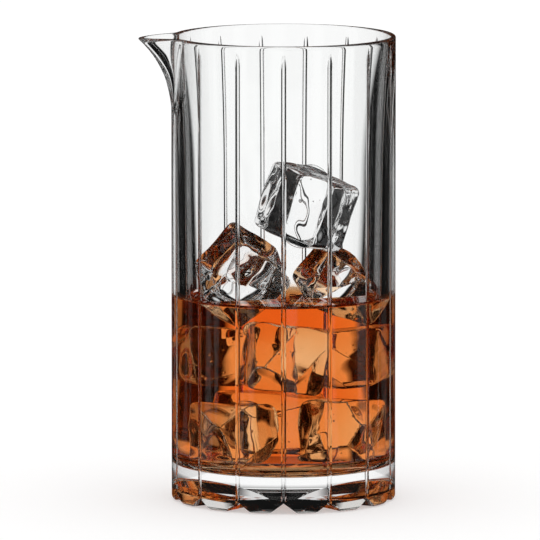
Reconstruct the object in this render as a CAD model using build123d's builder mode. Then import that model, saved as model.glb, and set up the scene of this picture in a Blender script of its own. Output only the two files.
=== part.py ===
from build123d import *
import os
from math import acos, atan2, cos, degrees, hypot, radians, sin, sqrt

# Handle-less mixing glass with a drink and ice in it. Millimetres, +Z up.
# The origin is the middle of the underside, and the spout points along -X.

# Glass body
glass_height = 174.6
body_radius = 42.0
foot_round = 1.2
floor_thickness = 12.5
floor_round = 6.0
wall_at_floor = 6.6
wall_at_flare = 5.4
flare_height = 118.0
lip_thickness = 2.0

# Pouring spout, measured out from the wall and down from the lip
spout_reach = 12.5
spout_drop = 31.0
spout_tip_thickness = 3.0
spout_back_half_low = 10.0
spout_back_half_top = 17.0
spout_back_depth = 14.0
channel_drop = 35.0
channel_back_half_low = 9.0
channel_back_half_top = 16.0
channel_back_depth = 20.0
spout_edge = 0.8
spout_sink = 0.4

# Upright flutes cut in the outside, and the notches between the feet
flute_count = 15
flute_cutter_radius = 1.0
flute_depth = 0.5
flute_top_gap = 3.0
flute_run_out_bend = 52.0
short_flute_top_gap = 24.0
notch_depth = 3.9
notch_half_width = 5.4
notch_inner_radius = 14.0

# Drink and ice
drink_level = 76.0
drink_wall_gap = 0.1
ice_edge = 28.0
ice_round = 3.5
ice_gap = 0.5
pocket_gap = 0.2

floor_bore_radius = body_radius - wall_at_floor
flare_bore_radius = body_radius - wall_at_flare
lip_bore_radius = body_radius - lip_thickness
lip_round = 0.45 * lip_thickness
overshoot = 5.0


def nose(level, back, back_half, tip):
    """One level of a spout: a rounded nose that reaches out along -X."""
    with BuildSketch(Plane.XY.offset(level)) as outline:
        with BuildLine():
            Spline((-back, back_half), (-tip, 0), (-back, -back_half))
            Line((-back, -back_half), (-back, back_half))
        make_face()
    return outline.sketch


def bend_out(start, end, drop, share):
    """How far a curve that leaves the wall upright has come out at a share of its drop."""
    bend = ((end - start) ** 2 + drop**2) / (2 * (end - start))
    return start + bend - sqrt(bend**2 - (drop * share) ** 2)


# The spout outside, from its root on the wall to its edge, then the edge itself
spout_shares = [0.0, 0.25, 0.5, 0.75, 1.0]
spout_back = body_radius - spout_back_depth
spout_tip = body_radius + spout_reach
edge_level = glass_height - spout_edge

spout_levels = []
for share in spout_shares:
    half = spout_back_half_low + (spout_back_half_top - spout_back_half_low) * share
    tip = bend_out(body_radius - spout_sink, spout_tip, spout_drop, share)
    spout_levels.append(nose(edge_level - spout_drop * (1 - share), spout_back, half, tip))

with BuildPart() as spout:
    loft(spout_levels)

with BuildPart() as spout_rim:
    loft([nose(edge_level, spout_back, spout_back_half_top, spout_tip),
          nose(glass_height, spout_back, spout_back_half_top - spout_edge, spout_tip - spout_edge)],
         ruled=True)

# The channel inside it, which leaves the bore lower down and opens at the edge
channel_back = body_radius - channel_back_depth
channel_tip = spout_tip - spout_tip_thickness

channel_levels = []
for share in spout_shares:
    half = channel_back_half_low + (channel_back_half_top - channel_back_half_low) * share
    tip = bend_out(flare_bore_radius - spout_sink, channel_tip, channel_drop, share)
    channel_levels.append(nose(edge_level - channel_drop * (1 - share), channel_back, half, tip))

with BuildPart() as channel:
    loft(channel_levels)

with BuildPart() as channel_rim:
    loft([nose(edge_level, channel_back, channel_back_half_top, channel_tip),
          nose(glass_height + spout_edge, channel_back, channel_back_half_top + 2 * spout_edge,
               channel_tip + 2 * spout_edge)],
         ruled=True)

# The bore: a round-cornered floor, a slightly tapered wall and a flare to the lip
with BuildPart() as bore:
    with BuildSketch(Plane.XZ) as bore_half:
        with BuildLine():
            floor_line = Line((0, floor_thickness), (floor_bore_radius, floor_thickness))
            wall = Line(floor_line @ 1, (flare_bore_radius, flare_height))
            flare = TangentArc(wall @ 1, (lip_bore_radius, glass_height - lip_round), tangent=wall % 1)
            lip = RadiusArc(flare @ 1, (lip_bore_radius + lip_round, glass_height), lip_round)
            Polyline(lip @ 1, (lip_bore_radius + lip_round, glass_height + overshoot),
                     (0, glass_height + overshoot), (0, floor_thickness))
        make_face()
        fillet(bore_half.vertices().sort_by_distance((floor_bore_radius, floor_thickness))[0],
               radius=floor_round)
    revolve(axis=Axis.Z)


def flute_cutter(top):
    """A round cutter that runs up the wall and bends out of it, clear at a height."""
    line = body_radius - flute_depth + flute_cutter_radius
    run_out = sqrt(2 * flute_run_out_bend * flute_depth)
    turn = degrees(acos(1 - 2 * flute_cutter_radius / flute_run_out_bend))
    with BuildPart() as cutter:
        with BuildLine(Plane.XZ) as path:
            upright = Line((line, -overshoot), (line, top - run_out))
            JernArc(upright @ 1, upright % 1, flute_run_out_bend, -turn)
        with BuildSketch(Plane.XY.offset(-overshoot)):
            with Locations((line, 0)):
                Circle(flute_cutter_radius)
        sweep(path=path.wires()[0])
    return cutter.part


long_flute = flute_cutter(glass_height - flute_top_gap)
short_flute = flute_cutter(glass_height - short_flute_top_gap)

# One V notch, whose ridge rises outward from the underside
notch_tilt = atan2(notch_depth, body_radius - notch_inner_radius)
notch_drop = 3 * notch_depth
notch_side = notch_drop * notch_half_width / notch_depth
notch_plane = Plane(origin=(notch_inner_radius, 0, 0), x_dir=(0, 1, 0),
                    z_dir=(cos(notch_tilt), 0, sin(notch_tilt)))

with BuildPart() as notch:
    with BuildSketch(notch_plane):
        with BuildLine():
            Polyline((0, 0), (notch_side, -notch_drop), (-notch_side, -notch_drop), close=True)
        make_face()
    extrude(amount=body_radius)

# The glass: a solid block with its spout, then the cuts in the order they take glass away
flute_pitch = 360 / flute_count
short_flute_turns = [180 - flute_pitch / 2, 180 + flute_pitch / 2]
long_flute_turns = [flute_pitch * k for k in range(flute_count)
                    if flute_pitch * k not in short_flute_turns]

with BuildPart() as glass:
    with BuildSketch(Plane.XZ) as block_half:
        with BuildLine():
            Polyline((0, 0), (body_radius, 0), (body_radius, glass_height), (0, glass_height), close=True)
        make_face()
        fillet(block_half.vertices().sort_by_distance((body_radius, 0))[0], radius=foot_round)
        fillet(block_half.vertices().sort_by_distance((body_radius, glass_height))[0], radius=lip_round)
    revolve(axis=Axis.Z)
    add(spout.part)
    add(spout_rim.part)
    for turn in long_flute_turns:
        add(long_flute.rotate(Axis.Z, turn), mode=Mode.SUBTRACT)
    for turn in short_flute_turns:
        add(short_flute.rotate(Axis.Z, turn), mode=Mode.SUBTRACT)
    with PolarLocations(0, flute_count):
        add(notch.part, mode=Mode.SUBTRACT)
    add(bore.part, mode=Mode.SUBTRACT)
    add(channel.part, mode=Mode.SUBTRACT)
    add(channel_rim.part, mode=Mode.SUBTRACT)

# Ice cubes from one tray, in the order they are dropped in. Each has the share of its edge that has
# melted off, its direction from the middle, how far towards the wall it lies (1 is against it), and
# its turns about X, Y and Z.
ice_cubes = [
    ("ice_floor_left", 0.11, 210, 1.0, (2, -2, 14)),
    ("ice_floor_right", 0.09, 330, 1.0, (-2, 2, -12)),
    ("ice_floor_back", 0.11, 90, 1.0, (2, 2, 5)),
    ("ice_middle_right", 0.16, 40, 1.0, (3, -4, -4)),
    ("ice_middle_left", 0.16, 145, 1.0, (-3, 4, 6)),
    ("ice_middle_front", 0.035, 268, 1.0, (-3, 8, 4)),
    ("ice_upper_right", 0.21, 15, 1.0, (20, 35, 15)),
    ("ice_upper_left", 0.07, 180, 1.0, (22, 40, 12)),
    ("ice_top", 0.02, 325, 0.62, (4, 18, 40)),
]
smallest_fall = 0.02
parallel = 1e-6
start_height = 2 * glass_height


def apart(one, other):
    """The least distance between two round-edged cubes, or a little less than it."""
    way = other["place"] - one["place"]
    lines = one["axes"] + other["axes"]
    lines = lines + [a.cross(b) for a in one["axes"] for b in other["axes"]]
    gaps = []
    for line in lines:
        if line.length > parallel:
            line = line.normalized()
            reach = sum(abs(line.dot(a)) * cube["core"] for cube in (one, other) for a in cube["axes"])
            gaps.append(abs(way.dot(line)) - reach)
    return max(gaps) - 2 * ice_round


def above_floor(cube):
    """The least height of a cube's corners over the floor of the bore and its round edge."""
    keep = ice_round + ice_gap
    heights = []
    for corner in cube["corners"]:
        spot = cube["place"] + corner
        past = hypot(spot.X, spot.Y) - (floor_bore_radius - floor_round)
        lowest = floor_thickness + keep
        if past > 0:
            lowest = floor_thickness + floor_round - sqrt(max((floor_round - keep) ** 2 - past**2, 0))
        heights.append(spot.Z - lowest)
    return min(heights)


def to_wall(cube, way):
    """How far a cube can go from the middle along a way before a corner meets the wall."""
    free = floor_bore_radius - ice_round - ice_gap
    ways = []
    for corner in cube["corners"]:
        along = corner.X * way.X + corner.Y * way.Y
        ways.append(sqrt(free**2 - corner.X**2 - corner.Y**2 + along**2) - along)
    return min(ways)


dropped = []
for name, melted, heading, lean, turn in ice_cubes:
    edge = ice_edge * (1 - melted)
    frame = Plane(Location((0, 0, 0), turn))
    axes = [frame.x_dir, frame.y_dir, frame.z_dir]
    core = edge / 2 - ice_round
    cube = {"name": name, "edge": edge, "turn": turn, "axes": axes, "core": core}
    cube["corners"] = [axes[0] * (core * i) + axes[1] * (core * j) + axes[2] * (core * k)
                       for i in (-1, 1) for j in (-1, 1) for k in (-1, 1)]
    way = Vector(cos(radians(heading)), sin(radians(heading)), 0)
    cube["place"] = way * (to_wall(cube, way) * lean) + Vector(0, 0, start_height)
    while True:
        fall = min([above_floor(cube)] + [apart(cube, other) - ice_gap for other in dropped])
        if fall < smallest_fall:
            break
        cube["place"] = cube["place"] - Vector(0, 0, fall)
    dropped.append(cube)

ice = []
for cube in dropped:
    with BuildPart() as ice_cube:
        with Locations(Location(tuple(cube["place"]), cube["turn"])):
            Box(cube["edge"], cube["edge"], cube["edge"])
        fillet(ice_cube.edges(), radius=ice_round)
    ice_cube.part.label = cube["name"]
    ice.append(ice_cube.part)

# The drink fills the bore up to its level, with a pocket round each cube that dips into it
with BuildPart() as drink:
    with BuildSketch(Plane.XZ) as drink_half:
        with BuildLine():
            drink_floor = floor_thickness + drink_wall_gap
            drink_low = floor_bore_radius - drink_wall_gap
            wall_lean = (flare_bore_radius - floor_bore_radius) / (flare_height - floor_thickness)
            drink_top = drink_low + wall_lean * (drink_level - drink_floor)
            Polyline((0, drink_floor), (drink_low, drink_floor), (drink_top, drink_level),
                     (0, drink_level), close=True)
        make_face()
        fillet(drink_half.vertices().sort_by_distance((drink_low, drink_floor))[0], radius=floor_round)
    revolve(axis=Axis.Z)
    for cube in dropped:
        pocket_edge = cube["edge"] + 2 * pocket_gap
        with BuildPart(mode=Mode.PRIVATE) as pocket:
            with Locations(Location(tuple(cube["place"]), cube["turn"])):
                Box(pocket_edge, pocket_edge, pocket_edge)
            fillet(pocket.edges(), radius=ice_round + pocket_gap)
        add(pocket.part, mode=Mode.SUBTRACT)
drink.part.label = "drink"
glass.part.label = "glass"

os.makedirs("parts", exist_ok=True)
export_step(glass.part, "parts/glass.step")
export_step(drink.part, "parts/drink.step")
for cube in ice:
    export_step(cube, f"parts/{cube.label}.step")
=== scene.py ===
import bpy
import numpy as np
from math import cos, pi, radians, sin, sqrt
from mathutils import Matrix, Vector, noise


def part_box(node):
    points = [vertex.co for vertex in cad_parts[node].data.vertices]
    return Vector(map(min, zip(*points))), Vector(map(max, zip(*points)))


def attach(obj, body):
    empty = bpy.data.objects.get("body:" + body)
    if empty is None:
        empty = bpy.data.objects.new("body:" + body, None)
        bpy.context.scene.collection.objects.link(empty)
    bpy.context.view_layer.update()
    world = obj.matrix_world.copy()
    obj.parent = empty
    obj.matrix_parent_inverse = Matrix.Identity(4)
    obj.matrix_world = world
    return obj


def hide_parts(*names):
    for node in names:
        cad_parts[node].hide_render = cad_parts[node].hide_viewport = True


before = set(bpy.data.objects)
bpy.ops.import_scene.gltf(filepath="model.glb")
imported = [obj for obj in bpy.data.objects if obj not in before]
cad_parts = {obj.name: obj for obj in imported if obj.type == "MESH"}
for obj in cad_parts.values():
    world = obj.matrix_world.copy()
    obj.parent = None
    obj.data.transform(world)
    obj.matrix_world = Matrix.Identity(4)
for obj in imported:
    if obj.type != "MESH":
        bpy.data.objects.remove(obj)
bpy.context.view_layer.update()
scene = bpy.context.scene
scene.view_settings.view_transform = "Standard"
mm = 0.001


def deselectAll():
    if bpy.context.object and bpy.context.object.mode != "OBJECT":
        bpy.ops.object.mode_set(mode="OBJECT")
    bpy.ops.object.select_all(action="DESELECT")


def drawProfile(name, points):
    # one vertex, drawn out along the half section (radius, height) in millimetres
    deselectAll()
    bpy.ops.mesh.primitive_plane_add(size=1)
    piece = bpy.context.object
    piece.name = piece.data.name = name
    bpy.ops.object.mode_set(mode="EDIT")
    bpy.ops.mesh.merge(type="CENTER")
    points = [Vector((r, 0, z)) * mm for r, z in points]
    bpy.ops.transform.translate(value=points[0])
    for here, there in zip(points, points[1:]):
        bpy.ops.mesh.extrude_region_move(TRANSFORM_OT_translate={"value": there - here})
    return piece


def turnProfile(piece, steps):
    # turned about the axis as on a lathe
    bpy.ops.object.mode_set(mode="OBJECT")
    lathe = piece.modifiers.new("lathe", "SCREW")
    lathe.axis, lathe.angle = "Z", 2 * pi
    lathe.steps = lathe.render_steps = steps
    lathe.use_merge_vertices, lathe.merge_threshold = True, 1e-6
    bpy.ops.object.modifier_apply(modifier="lathe")
    bpy.ops.object.mode_set(mode="EDIT")
    bpy.ops.mesh.select_all(action="SELECT")
    bpy.ops.mesh.remove_doubles(threshold=1e-6)
    bpy.ops.mesh.normals_make_consistent(inside=False)
    bpy.ops.object.mode_set(mode="OBJECT")


def cutAway(piece, cutter):
    deselectAll()
    piece.select_set(True)
    bpy.context.view_layer.objects.active = piece
    cut = piece.modifiers.new("cut", "BOOLEAN")
    cut.operation, cut.solver, cut.object = "DIFFERENCE", "MANIFOLD", cutter
    bpy.ops.object.modifier_apply(modifier="cut")
    bpy.data.objects.remove(cutter, do_unlink=True)


def smoothFaces(piece, angle):
    deselectAll()
    piece.select_set(True)
    bpy.context.view_layer.objects.active = piece
    bpy.ops.object.shade_smooth_by_angle(angle=radians(angle))


def arcPoints(centreR, centreZ, radius, start, end, count):
    return [(centreR + radius * cos(radians(start + (end - start) * k / count)),
             centreZ + radius * sin(radians(start + (end - start) * k / count)))
            for k in range(count + 1)]


# The vessel

vessel = {
    "height": 174.6, "radius": 42.0, "footRound": 1.2,
    "floor": 12.5, "floorRound": 6.0, "floorBore": 35.4,
    "flareBore": 36.6, "flareHeight": 118.0, "lipBore": 40.0, "lipRound": 0.9,
    "columns": 600, "rowStep": 1.0, "stillRadius": 30.0,
}
spout = {
    "reach": 13.0, "drop": 31.0, "back": 28.0, "halfLow": 10.0, "halfTop": 17.0,
    "channelReach": 9.9, "channelDrop": 35.0, "channelBack": 22.0, "channelLow": 9.0, "channelTop": 16.0,
    "sink": 0.4, "blend": 3.0, "droop": 0.5, "droopFrom": 160.0, "droopRise": 10.0,
}
flutes = {
    "count": 15, "cutter": 1.0, "depth": 0.5, "top": 171.6, "shortTop": 150.6, "bend": 52.0,
    "gather": 0.75,  # how closely the columns crowd at each flute
    # under the spout, above the short flutes, they spread out: rise, half angle, fade, how far
    "plain": (12.0, 24.0, 4.0, 0.2),
}
notches = {"depth": 3.9, "halfWidth": 5.4, "innerRadius": 14.0}

flareLean = (vessel["flareBore"] - vessel["floorBore"]) / (vessel["flareHeight"] - vessel["floor"])
flareRise = vessel["height"] - vessel["lipRound"] - vessel["flareHeight"]
flareOut = vessel["lipBore"] - vessel["flareBore"]


def boreRadius(z):
    # straight wall, then a flare that leaves it smoothly
    wall = vessel["floorBore"] + flareLean * (z - vessel["floor"])
    share = np.clip((z - vessel["flareHeight"]) / flareRise, 0, 1)
    flare = vessel["flareBore"] + flareLean * flareRise * share
    flare = flare + (flareOut - flareLean * flareRise) * share**2
    return np.where(z < vessel["flareHeight"], wall, flare)


def noseRadius(phi, tip, half, back):
    # how far out a rounded nose lies in a direction phi from its own
    k = (tip - back) / half**2
    a, b = k * np.sin(phi)**2, np.cos(phi)
    return 2 * tip / (b + np.sqrt(b**2 + 4 * a * tip))


def bendOut(start, end, drop, share):
    bend = ((end - start)**2 + drop**2) / (2 * (end - start))
    return start + bend - np.sqrt(bend**2 - (drop * share)**2)


def softMax(a, b, width):
    near = np.clip(width - np.abs(a - b), 0, None) / np.maximum(width, 1e-6)
    return np.maximum(a, b) + near**2 * width / 4


def spoutShape(base, z, phi, start, tipEnd, drop, back, halfLow, halfTop):
    share = np.clip((z - (vessel["height"] - drop)) / drop, 0, 1)
    tip = bendOut(start - spout["sink"], tipEnd, drop, share)
    half = halfLow + (halfTop - halfLow) * share
    nose = noseRadius(phi, tip, half, back)
    nose = np.where((np.abs(phi) < radians(60)) & (share > 0), nose, 0)
    return softMax(base, nose, spout["blend"] * np.clip(share * 2.5, 0, 1))


def wallPoints(low, high, step):
    count = max(1, round((high - low) / step))
    return [low + (high - low) * k / count for k in range(count + 1)]


def vesselProfile():
    v = vessel
    outer = [(0, 0), (10, 0), (v["radius"] - v["footRound"], 0)]
    outer += arcPoints(v["radius"] - v["footRound"], v["footRound"], v["footRound"], -90, 0, 6)[1:]
    outer += [(v["radius"], z) for z in wallPoints(4, 136, 22)]
    outer += [(v["radius"], z) for z in wallPoints(137, v["height"] - v["lipRound"], v["rowStep"])]
    outer += arcPoints(v["radius"] - v["lipRound"], v["height"] - v["lipRound"], v["lipRound"], 0, 90, 6)[1:]
    lip = arcPoints(v["lipBore"] + v["lipRound"], v["height"] - v["lipRound"], v["lipRound"], 90, 180, 6)
    inner = [(float(boreRadius(z)), z) for z in wallPoints(120, v["height"] - v["lipRound"], v["rowStep"])[::-1]][1:]
    floorTop = v["floor"] + v["floorRound"]
    inner += [(float(boreRadius(z)), z) for z in wallPoints(floorTop, 119, 20)[::-1]]
    turn = float(boreRadius(floorTop)) - v["floorRound"]
    inner += arcPoints(turn, floorTop, v["floorRound"], 0, -90, 14)[1:]
    return outer + lip + inner + [(turn * 0.5, v["floor"]), (0, v["floor"])]


def shapeVessel(piece):
    # columns crowd at the flutes, then the wall goes in at each flute and out at the spout
    count = len(piece.data.vertices)
    spots = np.empty(count * 3)
    piece.data.vertices.foreach_get("co", spots)
    spots = spots.reshape(-1, 3) / mm
    r, z = np.hypot(spots[:, 0], spots[:, 1]), spots[:, 2].copy()
    angle = np.arctan2(spots[:, 1], spots[:, 0])
    outside = (r > vessel["radius"] - 1.0) | (z < vessel["floor"] - 1)
    n = flutes["count"]
    phi = np.arctan2(np.sin(angle - pi), np.cos(angle - pi))
    rise, half, fade, spread = flutes["plain"]
    loose = np.clip((z - flutes["shortTop"]) / rise, 0, 1)
    loose = loose * np.clip((radians(half) - np.abs(phi)) / radians(fade), 0, 1)
    angle = angle - (flutes["gather"] * (1 - loose) - spread * loose) / n * np.sin(n * angle)
    phi = np.arctan2(np.sin(angle - pi), np.cos(angle - pi))

    inset = vessel["radius"] - r
    wall = spoutShape(np.full(count, vessel["radius"]), z, phi, vessel["radius"],
                      vessel["radius"] + spout["reach"], spout["drop"], spout["back"],
                      spout["halfLow"], spout["halfTop"])
    pitch = 2 * pi / n
    off = np.abs(np.arctan2(np.sin(angle * n), np.cos(angle * n))) / n * vessel["radius"]
    nearest = np.round(angle / pitch) * pitch
    isShort = np.abs(np.arctan2(np.sin(nearest - pi), np.cos(nearest - pi))) < 0.6 * pitch
    top = np.where(isShort, flutes["shortTop"], flutes["top"])
    runOut = sqrt(2 * flutes["bend"] * flutes["depth"])
    depth = flutes["depth"] - np.clip(z - (top - runOut), 0, None)**2 / (2 * flutes["bend"])
    groove = np.sqrt(np.clip(flutes["cutter"]**2 - off**2, 0, None)) - (flutes["cutter"] - depth)
    groove = np.where((groove > 0) & (depth > 0), groove, 0)
    outerR = np.minimum(wall - inset, wall - groove)

    bore = boreRadius(z)
    channel = spoutShape(bore, z, phi, vessel["flareBore"], vessel["radius"] + spout["channelReach"],
                         spout["channelDrop"], spout["channelBack"], spout["channelLow"], spout["channelTop"])
    innerR = r + np.where(z > vessel["flareHeight"], channel - bore, 0)
    reached = np.where(outside, wall - vessel["radius"], channel - bore) / spout["reach"]
    z = z - spout["droop"] * np.clip(reached, 0, 1)**2 * np.clip((z - spout["droopFrom"]) / spout["droopRise"], 0, 1)
    r = np.where(r < vessel["stillRadius"], r, np.where(outside, outerR, innerR))
    spots = np.stack([r * np.cos(angle), r * np.sin(angle), z], axis=1) * mm
    piece.data.vertices.foreach_set("co", spots.ravel())
    piece.data.update()


def notchCutter():
    # one wedge whose ridge rises outward, copied round the foot
    deselectAll()
    bpy.ops.mesh.primitive_cone_add(vertices=3, radius1=1, depth=1)
    cutter = bpy.context.object
    below, reach = 0.5, 46.0
    slope = notches["depth"] / (vessel["radius"] - notches["innerRadius"])
    ridge = slope * (reach - notches["innerRadius"])
    half = notches["halfWidth"] / notches["depth"] * (ridge + below)
    corners = [(reach, 0, ridge), (reach, half, -below), (reach, -half, -below)]
    for vertex in cutter.data.vertices:
        if vertex.co.z > 0:
            vertex.co = Vector((notches["innerRadius"] - below / slope, 0, -below)) * mm
        else:
            vertex.co = Vector(corners.pop()) * mm
    bpy.ops.object.mode_set(mode="EDIT")
    bpy.ops.mesh.select_all(action="SELECT")
    step = 2 * pi / flutes["count"]
    bpy.ops.mesh.spin(steps=flutes["count"] - 1, dupli=True, angle=step * (flutes["count"] - 1),
                      center=(0, 0, 0), axis=(0, 0, 1))
    bpy.ops.mesh.select_all(action="SELECT")
    bpy.ops.mesh.normals_make_consistent(inside=False)
    bpy.ops.object.mode_set(mode="OBJECT")
    return cutter


def makeVessel():
    piece = drawProfile("vesselWall", vesselProfile())
    turnProfile(piece, vessel["columns"])
    shapeVessel(piece)
    cutAway(piece, notchCutter())
    smoothFaces(piece, 32)
    return piece


vesselWall = makeVessel()
print("vessel done,", len(vesselWall.data.vertices), "vertices")


# The ice

iceSet = {
    "round": 3.5, "cuts": 33, "ripple": 0.22, "rippleSize": 4.0,
    # dent depth, dent size, passes that round the edges of the flats
    "wet": (2.4, 9.5, 3), "dry": (1.3, 10.0, 1),
}
iceCubes = {
    "ice_floor_left": {
        "edge": 24.92, "place": (-16.69, -9.64, 26.40), "turn": (2, -2, 14), "body": "pitcher",
        "facets": [(290, 25, 12.0), (215, -20, 13.0), (240, 60, 12.5), (320, -35, 13.5)]},
    "ice_floor_right": {
        "edge": 25.48, "place": (16.59, -9.58, 27.09), "turn": (-2, 2, -12), "body": "pitcher",
        "facets": [(245, 30, 12.0), (310, -25, 13.0), (275, -50, 12.5), (330, 45, 13.0)]},
    "ice_floor_back": {
        "edge": 24.92, "place": (0.0, 20.39, 27.39), "turn": (2, 2, 5), "body": "pitcher",
        "facets": [(60, 20, 12.5), (120, -30, 12.5), (250, 50, 12.5)]},
    "ice_middle_right": {
        "edge": 23.52, "place": (14.59, 12.24, 52.56), "turn": (3, -4, -4), "body": "pitcher",
        "facets": [(300, 30, 11.5), (70, -20, 11.5), (230, -40, 12.0)]},
    "ice_middle_left": {
        "edge": 23.52, "place": (-16.0, 11.20, 53.40), "turn": (-3, 4, 6), "body": "pitcher",
        "facets": [(250, 20, 11.5), (110, 30, 11.5), (300, -45, 12.0)]},
    "ice_middle_front": {
        "edge": 27.02, "place": (-0.64, -18.20, 55.86), "turn": (-3, 8, 4), "body": "pitcher",
        "facets": [(225, 35, 13.5), (315, -30, 13.5), (240, -45, 14.0), (80, 30, 13.0)]},
    "ice_upper_right": {
        "edge": 22.12, "place": (19.48, 5.22, 81.17), "turn": (20, 35, 15), "body": "upper_right_cube",
        "facets": [(265, 10, 11.0)]},
    "ice_upper_left": {
        "edge": 26.04, "place": (-15.88, 0.0, 84.97), "turn": (22, 40, 12), "body": "upper_left_cube",
        "facets": [(290, 5, 12.5)]},
    "ice_top": {
        "edge": 27.44, "place": (7.89, -5.53, 110.47), "turn": (4, 18, 40), "body": "top_cube",
        "facets": [(264, 0, 13.0), (84, 0, 13.0)]},
}


def makeIce(name, cube, seed):
    deselectAll()
    bpy.ops.mesh.primitive_cube_add(size=cube["edge"] * mm)
    piece = bpy.context.object
    piece.name = piece.data.name = name.replace("ice_", "ice").title().replace("_", "").replace("Ice", "ice")
    bpy.ops.object.mode_set(mode="EDIT")
    bpy.ops.mesh.subdivide(number_cuts=iceSet["cuts"])
    bpy.ops.object.mode_set(mode="OBJECT")
    core = cube["edge"] / 2 - iceSet["round"]
    turn = Matrix.Rotation(radians(cube["turn"][0]), 3, "X") @ Matrix.Rotation(radians(cube["turn"][1]), 3, "Y")
    turn = turn @ Matrix.Rotation(radians(cube["turn"][2]), 3, "Z")
    shift = Vector((seed * 17.3, seed * 5.1, seed * 9.7))
    dentDepth, dentSize, soften = iceSet["wet" if cube["body"] == "pitcher" else "dry"]
    facets = []  # flats that melting has left, by heading, rise and distance from the middle
    for heading, rise, depth in cube.get("facets", []):
        way = Vector((cos(radians(heading)) * cos(radians(rise)), sin(radians(heading)) * cos(radians(rise)),
                      sin(radians(rise))))
        facets.append((turn.transposed() @ way, depth))
    for vertex in piece.data.vertices:
        spot = vertex.co / mm
        inner = Vector([min(max(c, -core), core) for c in spot])
        out = (spot - inner).normalized()
        spot = inner + out * iceSet["round"]
        for way, depth in facets:
            over = spot.dot(way) - depth
            if over > 0:
                spot, out = spot - way * over, way
        dent = 0.5 + 0.5 * noise.noise(spot / dentSize + shift)
        ripple = 0.5 + 0.5 * noise.noise(spot / iceSet["rippleSize"] - shift)
        spot = spot - out * (dentDepth * dent + iceSet["ripple"] * ripple)
        vertex.co = (turn @ spot + Vector(cube["place"])) * mm
    piece.data.update()
    bpy.ops.object.mode_set(mode="EDIT")
    bpy.ops.mesh.select_all(action="SELECT")
    bpy.ops.mesh.vertices_smooth(factor=0.5, repeat=soften)
    bpy.ops.object.mode_set(mode="OBJECT")
    smoothFaces(piece, 180)
    return piece


icePieces = {}
for seed, (name, cube) in enumerate(iceCubes.items()):
    icePieces[name] = makeIce(name, cube, seed + 1)
print("ice done,", len(icePieces), "cubes")


# The drink

drinkSet = {"level": 76.0, "into": 0.15, "meniscus": 1.3, "meniscusOut": 2.4, "columns": 300, "pocket": 0.2}


def drinkProfile():
    v, d = vessel, drinkSet
    floorTop = v["floor"] + v["floorRound"]
    turn = float(boreRadius(floorTop)) - v["floorRound"]
    points = [(0, v["floor"] - d["into"]), (turn * 0.5, v["floor"] - d["into"])]
    points += arcPoints(turn, floorTop, v["floorRound"] + d["into"], -90, 0, 14)
    edge = d["level"] + d["meniscus"]
    points += [(float(boreRadius(z)) + d["into"], z) for z in wallPoints(floorTop + 2, edge, 8)]
    wall = float(boreRadius(d["level"]))
    for k in range(1, 13):
        share = k / 12
        points.append((wall - d["meniscusOut"] * share, d["level"] + d["meniscus"] * (1 - share)**2.5))
    return points + [(20, d["level"]), (0, d["level"])]


def makeDrink():
    piece = drawProfile("drinkBody", drinkProfile())
    turnProfile(piece, drinkSet["columns"])
    for name, ice in icePieces.items():
        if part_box(name)[0].z < drinkSet["level"] * mm:
            pocket = ice.copy()
            pocket.data = ice.data.copy()
            bpy.context.collection.objects.link(pocket)
            deselectAll()
            pocket.select_set(True)
            bpy.context.view_layer.objects.active = pocket
            bpy.ops.object.mode_set(mode="EDIT")
            bpy.ops.mesh.select_all(action="SELECT")
            bpy.ops.transform.shrink_fatten(value=-drinkSet["pocket"] * mm)
            bpy.ops.object.mode_set(mode="OBJECT")
            cutAway(piece, pocket)
    smoothFaces(piece, 40)
    return piece


bubbleSet = {"count": 12, "least": 0.15, "most": 0.75, "spread": 0.86, "seed": 7}


def addBubbles(piece, cube):
    # small air bubbles, shut in the ice
    deselectAll()
    bpy.context.view_layer.objects.active = piece
    bpy.ops.object.mode_set(mode="EDIT")
    bpy.ops.mesh.select_all(action="DESELECT")
    for k in range(bubbleSet["count"]):
        spot = noise.random_vector().normalized()
        size = bubbleSet["least"] + (bubbleSet["most"] - bubbleSet["least"]) * noise.random()**3
        reach = cube["edge"] / 2 * bubbleSet["spread"] * noise.random()**0.4
        place = (Vector(cube["place"]) + spot * reach) * mm
        bpy.ops.mesh.primitive_ico_sphere_add(subdivisions=2, radius=size * mm, location=place)
        bpy.ops.mesh.flip_normals()
    bpy.ops.mesh.select_all(action="DESELECT")
    bpy.ops.object.mode_set(mode="OBJECT")
    smoothFaces(piece, 180)


drinkBody = makeDrink()
noise.seed_set(bubbleSet["seed"])
for name, piece in icePieces.items():
    addBubbles(piece, iceCubes[name])
print("drink done,", len(drinkBody.data.vertices), "vertices")


# Materials

def newMaterial(name):
    material = bpy.data.materials.new(name)
    material.use_nodes = True
    nodes = material.node_tree.nodes
    return material, nodes, material.node_tree.links, nodes["Principled BSDF"], nodes["Material Output"]


def addNode(nodes, kind, **inputs):
    node = nodes.new(kind)
    for name, value in inputs.items():
        node.inputs[name].default_value = value
    return node


def lampsPass(nodes, links, shader, output, tint):
    # lamps reach what stands behind, so the shadow stays light
    path = nodes.new("ShaderNodeLightPath")
    clear = addNode(nodes, "ShaderNodeBsdfTransparent", Color=tint)
    mix = nodes.new("ShaderNodeMixShader")
    links.new(path.outputs["Is Shadow Ray"], mix.inputs["Fac"])
    links.new(shader.outputs["BSDF"], mix.inputs[1])
    links.new(clear.outputs["BSDF"], mix.inputs[2])
    links.new(mix.outputs["Shader"], output.inputs["Surface"])


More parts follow.
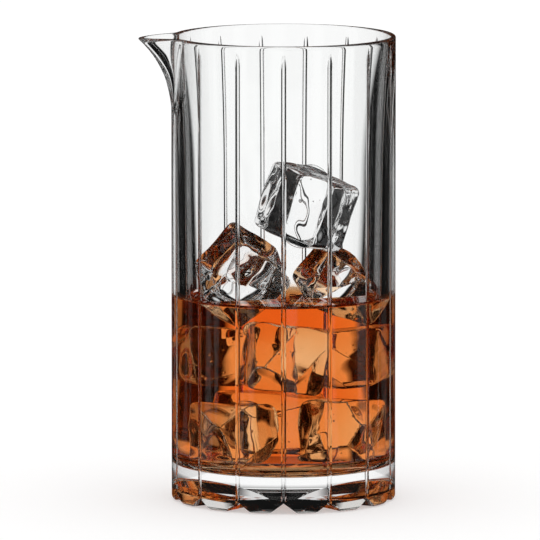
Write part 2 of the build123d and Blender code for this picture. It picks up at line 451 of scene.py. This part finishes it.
def patchy(nodes, links, stretch, size, detail):
    # soft noise in the piece's own space, stretched along z where asked
    place = nodes.new("ShaderNodeTexCoord")
    mapping = addNode(nodes, "ShaderNodeMapping", Scale=(1, 1, stretch))
    cloud = addNode(nodes, "ShaderNodeTexNoise", Scale=1 / (size * mm), Detail=detail, Roughness=0.55)
    links.new(place.outputs["Object"], mapping.inputs["Vector"])
    links.new(mapping.outputs["Vector"], cloud.inputs["Vector"])
    return cloud.outputs["Fac"]


def tinted(nodes, links, value, low, high, first, second):
    ramp = nodes.new("ShaderNodeValToRGB")
    links.new(value, ramp.inputs["Fac"])
    for element, place, colour in zip(ramp.color_ramp.elements, (low, high), (first, second)):
        element.position, element.color = place, (*colour, 1)
    return ramp.outputs["Color"]


def ranged(nodes, links, value, low, high, first, second):
    span = addNode(nodes, "ShaderNodeMapRange",
                   **{"From Min": low, "From Max": high, "To Min": first, "To Max": second})
    links.new(value, span.inputs["Value"])
    return span.outputs["Result"]


def ripples(nodes, links, shader, height, strength, depth):
    bump = addNode(nodes, "ShaderNodeBump", Strength=strength, Distance=depth * mm)
    links.new(height, bump.inputs["Height"])
    links.new(bump.outputs["Normal"], shader.inputs["Normal"])


def clearGlass():
    # the wall has faint upright drawing marks, a breath of green and a few duller patches
    material, nodes, links, shader, output = newMaterial("clearGlass")
    tint = tinted(nodes, links, patchy(nodes, links, 0.3, 40, 2), 0.35, 0.65,
                  (0.990, 0.997, 0.993), (0.998, 0.999, 0.998))
    links.new(tint, shader.inputs["Base Color"])
    dull = ranged(nodes, links, patchy(nodes, links, 1.0, 16, 4), 0.5, 0.8, 0.0, 0.01)
    links.new(dull, shader.inputs["Roughness"])
    ripples(nodes, links, shader, patchy(nodes, links, 0.06, 9, 1), 0.5, 0.02)
    shader.inputs["IOR"].default_value = 1.52
    shader.inputs["Specular Tint"].default_value = (0.6, 0.6, 0.6, 1)
    shader.inputs["Transmission Weight"].default_value = 1.0
    lampsPass(nodes, links, shader, output, (0.93, 0.94, 0.935, 1))
    return material


def amberDrink():
    # clear and evenly coloured, with slow swirls where melted ice thins it
    material, nodes, links, shader, output = newMaterial("amberDrink")
    swirl = tinted(nodes, links, patchy(nodes, links, 0.6, 14, 3), 0.35, 0.7,
                   (1.0, 1.0, 1.0), (0.99, 0.965, 0.93))
    links.new(swirl, shader.inputs["Base Color"])
    still = ranged(nodes, links, patchy(nodes, links, 1.0, 20, 2), 0.4, 0.8, 0.0, 0.006)
    links.new(still, shader.inputs["Roughness"])
    ripples(nodes, links, shader, patchy(nodes, links, 1.0, 11, 1), 0.4, 0.03)
    shader.inputs["IOR"].default_value = 1.345
    shader.inputs["Specular Tint"].default_value = (0.1, 0.1, 0.1, 1)
    shader.inputs["Transmission Weight"].default_value = 1.0
    volume = nodes.new("ShaderNodeVolumeAbsorption")
    volume.inputs["Color"].default_value = (0.962, 0.545, 0.03, 1)
    volume.inputs["Density"].default_value = 66
    links.new(volume.outputs["Volume"], output.inputs["Volume"])
    lampsPass(nodes, links, shader, output, (0.8, 0.6, 0.45, 1))
    return material


def clearIce():
    # wet and clear, with faint cloud, rounded melt ripples and small frosted patches
    material, nodes, links, shader, output = newMaterial("clearIce")
    cloud = tinted(nodes, links, patchy(nodes, links, 1.0, 7, 4), 0.45, 0.8,
                   (0.995, 0.996, 0.997), (0.95, 0.965, 0.975))
    links.new(cloud, shader.inputs["Base Color"])
    frost = ranged(nodes, links, patchy(nodes, links, 1.0, 5, 5), 0.6, 0.8, 0.0, 0.03)
    links.new(frost, shader.inputs["Roughness"])
    ripples(nodes, links, shader, patchy(nodes, links, 1.0, 5, 1), 0.4, 0.05)
    shader.inputs["IOR"].default_value = 1.49
    shader.inputs["Specular Tint"].default_value = (0.35, 0.35, 0.35, 1)
    shader.inputs["Transmission Weight"].default_value = 1.0
    lampsPass(nodes, links, shader, output, (0.95, 0.95, 0.95, 1))
    return material


glassFinish, drinkFinish, iceFinish = clearGlass(), amberDrink(), clearIce()

vesselWall.data.materials.clear()
vesselWall.data.materials.append(glassFinish)
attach(vesselWall, "pitcher")
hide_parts("glass")

drinkBody.data.materials.clear()
drinkBody.data.materials.append(drinkFinish)
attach(drinkBody, "pitcher")
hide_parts("drink")

for name, piece in icePieces.items():
    piece.data.materials.clear()
    piece.data.materials.append(iceFinish)
    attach(piece, iceCubes[name]["body"])
    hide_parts(name)
print("materials done")


# Stage: pale floor, soft white surroundings with darker gaps that give glass its edges

stageSet = {
    "floorSize": 24.0, "floorDrop": 0.3, "floorColour": 0.76, "floorLift": 0.29,
    "floorSpan": 4.0, "dark": 0.006, "edge": 2.0, "mirrored": 0.05,
    # bright panels: heading of the middle, half width in degrees, brightness
    "screen": [(87, 14.5, 1.0)],
    "back": [(-135, 6, 0.9), (-90, 8, 0.9), (-45, 6, 0.9)],
    "wings": [(-180, 8, 0.9), (0, 8, 0.9), (40, 6, 0.4), (140, 6, 0.4), (180, 8, 0.9)],
    "wingGap": (0.62, 1.15, 0.45),  # metres out, between which the wings are dimmer, and by how much
    "near": (0.056, 0.095, 0.8),  # a bright ring round the foot, in metres, dark inside it
    "front": [(-96, 75, 1.0)], "frontGap": (1.0, 2.2),  # pale floor ahead, which the upper wall mirrors
    "overhead": (0.45, 0.55, 0.74, 0.8, 0.7),  # a bright band high round the room: sine of its edges, brightness
    # sine of the height at which each of them ends
    "screenRise": (0.02, 0.07), "backRise": (0.15, 0.25), "wingsRise": (0.06, 0.09),
}


def fillRamp(nodes, links, value, stops):
    ramp = nodes.new("ShaderNodeValToRGB")
    links.new(value, ramp.inputs["Fac"])
    elements = ramp.color_ramp.elements
    for k in range(len(stops) - 2):
        elements.new(0.5)
    for element, (place, bright) in zip(elements, sorted(stops)):
        element.position = place
        element.color = (bright, bright, bright, 1)
    return ramp.outputs["Color"]


def panelStops(panels):
    stops = []
    for heading, half, bright in panels:
        soft = stageSet["edge"]
        stops += [(heading - half - soft, 0), (heading - half, bright),
                  (heading + half, bright), (heading + half + soft, 0)]
    return [(0.5 + heading / 360, bright) for heading, bright in stops if -180 <= heading <= 180]


def mathNode(nodes, links, operation, *values):
    node = nodes.new("ShaderNodeMath")
    node.operation = operation
    for socket, value in zip(node.inputs, values):
        if isinstance(value, (int, float)):
            socket.default_value = value
        else:
            links.new(value, socket)
    return node.outputs["Value"]


def floorParts(nodes, links, parts, turn, x, y):
    # what the floor shows, by distance from the object's axis
    span = stageSet["floorSpan"]
    squares = [mathNode(nodes, links, "MULTIPLY", axis, axis) for axis in (x, y)]
    far = mathNode(nodes, links, "SQRT", mathNode(nodes, links, "ADD", *squares))
    far = mathNode(nodes, links, "DIVIDE", far, span)

    def byDistance(stops):
        return fillRamp(nodes, links, far, [(place / span, bright) for place, bright in stops])

    near, out, dim = stageSet["wingGap"]
    share = byDistance([(near * 0.9, 1), (near * 1.1, dim), (out * 0.9, dim), (out * 1.1, 1)])
    parts["wings"] = mathNode(nodes, links, "MULTIPLY", parts["wings"], share)
    foot, ring, bright = stageSet["near"]
    parts["near"] = byDistance([(foot, 0), (foot * 1.1, bright), (ring, bright), (ring * 1.2, 0)])
    parts["clear"] = byDistance([(foot, 0), (foot * 1.1, 1)])
    near, out = stageSet["frontGap"]
    share = byDistance([(near * 0.85, 0), (near * 1.15, 1), (out, 1), (out * 1.1, 0)])
    ahead = fillRamp(nodes, links, turn, panelStops(stageSet["front"]))
    parts["front"] = mathNode(nodes, links, "MULTIPLY", ahead, share)


def roomParts(nodes, links, parts, z):
    # what the room shows, by height
    for name in ("screen", "back", "wings"):
        low, high = stageSet[name + "Rise"]
        share = fillRamp(nodes, links, z, [(low, 1), (high, 0)])
        parts[name] = mathNode(nodes, links, "MULTIPLY", parts[name], share)
    low, first, last, high, bright = stageSet["overhead"]
    parts["overhead"] = fillRamp(nodes, links, z, [(low, 0), (first, bright), (last, bright), (high, 0)])


def panelLight(nodes, links, vector, kind):
    # brightness round the object: panels by heading, with darker gaps between them
    split = nodes.new("ShaderNodeSeparateXYZ")
    links.new(vector, split.inputs["Vector"])
    x, y, z = (split.outputs[axis] for axis in "XYZ")
    turn = mathNode(nodes, links, "ARCTAN2", y, x)
    turn = mathNode(nodes, links, "MULTIPLY_ADD", turn, 0.5 / pi, 0.5)
    parts = {name: fillRamp(nodes, links, turn, panelStops(stageSet[name])) for name in ("screen", "back", "wings")}
    if kind == "floor":
        floorParts(nodes, links, parts, turn, x, y)
    else:
        roomParts(nodes, links, parts, z)

    # the panels behind the viewer are for what is seen through both walls, not for the near wall's mirror
    path = nodes.new("ShaderNodeLightPath")
    deep = mathNode(nodes, links, "GREATER_THAN", path.outputs["Transmission Depth"], 3.5)
    straight = mathNode(nodes, links, "LESS_THAN", path.outputs["Glossy Depth"], 0.5)
    deep = mathNode(nodes, links, "MAXIMUM", deep, straight)
    light = mathNode(nodes, links, "ADD", parts["back"], parts["wings"])
    light = mathNode(nodes, links, "MULTIPLY_ADD", light, deep, parts["screen"])
    if kind == "floor":
        light = mathNode(nodes, links, "MAXIMUM", light, parts["near"])
        light = mathNode(nodes, links, "MULTIPLY", light, parts["clear"])
        light = mathNode(nodes, links, "MAXIMUM", light, parts["front"])
    else:
        light = mathNode(nodes, links, "MAXIMUM", light, parts["overhead"])
    light = mathNode(nodes, links, "ADD", light, stageSet["dark"])

    # a refracted ray counts as glossy too, so what is only mirrored is what isn't refracted
    through = mathNode(nodes, links, "MULTIPLY_ADD", path.outputs["Is Transmission Ray"],
                       1 - stageSet["mirrored"], stageSet["mirrored"])
    light = mathNode(nodes, links, "MULTIPLY", light, through)
    if kind == "floor":
        light = mathNode(nodes, links, "MAXIMUM", light, parts["front"])
    return light


def rayShare(nodes, links, names):
    # 1 for any of the named kinds of ray
    path = nodes.new("ShaderNodeLightPath")
    total = path.outputs[names[0]]
    for name in names[1:]:
        total = mathNode(nodes, links, "MAXIMUM", total, path.outputs[name])
    return total


def makeFloor():
    deselectAll()
    bpy.ops.mesh.primitive_plane_add(size=stageSet["floorSize"], location=(0, 0, -stageSet["floorDrop"] * mm))
    floor = bpy.context.object
    floor.name = "paleFloor"
    material, nodes, links, shader, output = newMaterial("paleFloor")
    pale = stageSet["floorColour"]
    shader.inputs["Base Color"].default_value = (pale, pale, pale, 1)
    shader.inputs["Roughness"].default_value = 1.0
    shader.inputs["Specular IOR Level"].default_value = 0.0
    shader.inputs["Emission Color"].default_value = (1, 1, 1, 1)
    shader.inputs["Emission Strength"].default_value = stageSet["floorLift"]
    place = nodes.new("ShaderNodeTexCoord")
    seen = addNode(nodes, "ShaderNodeEmission", Color=(1, 1, 1, 1))
    links.new(panelLight(nodes, links, place.outputs["Object"], "floor"), seen.inputs["Strength"])
    mix = nodes.new("ShaderNodeMixShader")
    links.new(rayShare(nodes, links, ["Is Transmission Ray", "Is Glossy Ray"]), mix.inputs["Fac"])
    links.new(shader.outputs["BSDF"], mix.inputs[1])
    links.new(seen.outputs["Emission"], mix.inputs[2])
    links.new(mix.outputs["Shader"], output.inputs["Surface"])
    floor.data.materials.append(material)


def makeWorld():
    world = bpy.data.worlds.new("softRoom")
    scene.world = world
    world.use_nodes = True
    nodes, links = world.node_tree.nodes, world.node_tree.links
    plain = nodes["Background"]
    plain.inputs["Color"].default_value = (1, 1, 1, 1)
    plain.inputs["Strength"].default_value = 1.0
    place = nodes.new("ShaderNodeTexCoord")
    seen = addNode(nodes, "ShaderNodeBackground", Color=(1, 1, 1, 1))
    links.new(panelLight(nodes, links, place.outputs["Generated"], "room"), seen.inputs["Strength"])
    mix = nodes.new("ShaderNodeMixShader")
    links.new(rayShare(nodes, links, ["Is Transmission Ray", "Is Glossy Ray"]), mix.inputs["Fac"])
    links.new(plain.outputs["Background"], mix.inputs[1])
    links.new(seen.outputs["Background"], mix.inputs[2])
    links.new(mix.outputs["Shader"], nodes["World Output"].inputs["Surface"])


makeFloor()
makeWorld()
scene.cycles.max_bounces = 48
scene.cycles.transmission_bounces = 48
scene.cycles.glossy_bounces = 24
scene.cycles.transparent_max_bounces = 32
print("stage done")


# Camera

cameraSet = {"azimuth": -6.0, "distance": 3.5, "height": 0.54, "lens": 620.0, "aim": (-5.06, 86.0)}


def makeCamera():
    deselectAll()
    turn = radians(cameraSet["azimuth"])
    side, ahead = Vector((cos(turn), sin(turn), 0)), Vector((-sin(turn), cos(turn), 0))
    flat = sqrt(cameraSet["distance"]**2 - cameraSet["height"]**2)
    bpy.ops.object.camera_add()
    camera = bpy.context.object
    aim = side * cameraSet["aim"][0] * mm + Vector((0, 0, cameraSet["aim"][1] * mm))
    camera.location = side * cameraSet["aim"][0] * mm - ahead * flat + Vector((0, 0, cameraSet["height"]))
    camera.rotation_euler = (aim - camera.location).to_track_quat("-Z", "Y").to_euler()
    camera.data.lens = cameraSet["lens"]
    camera.data.sensor_width = 36
    camera.data.clip_start, camera.data.clip_end = 0.1, 50
    scene.camera = camera


makeCamera()
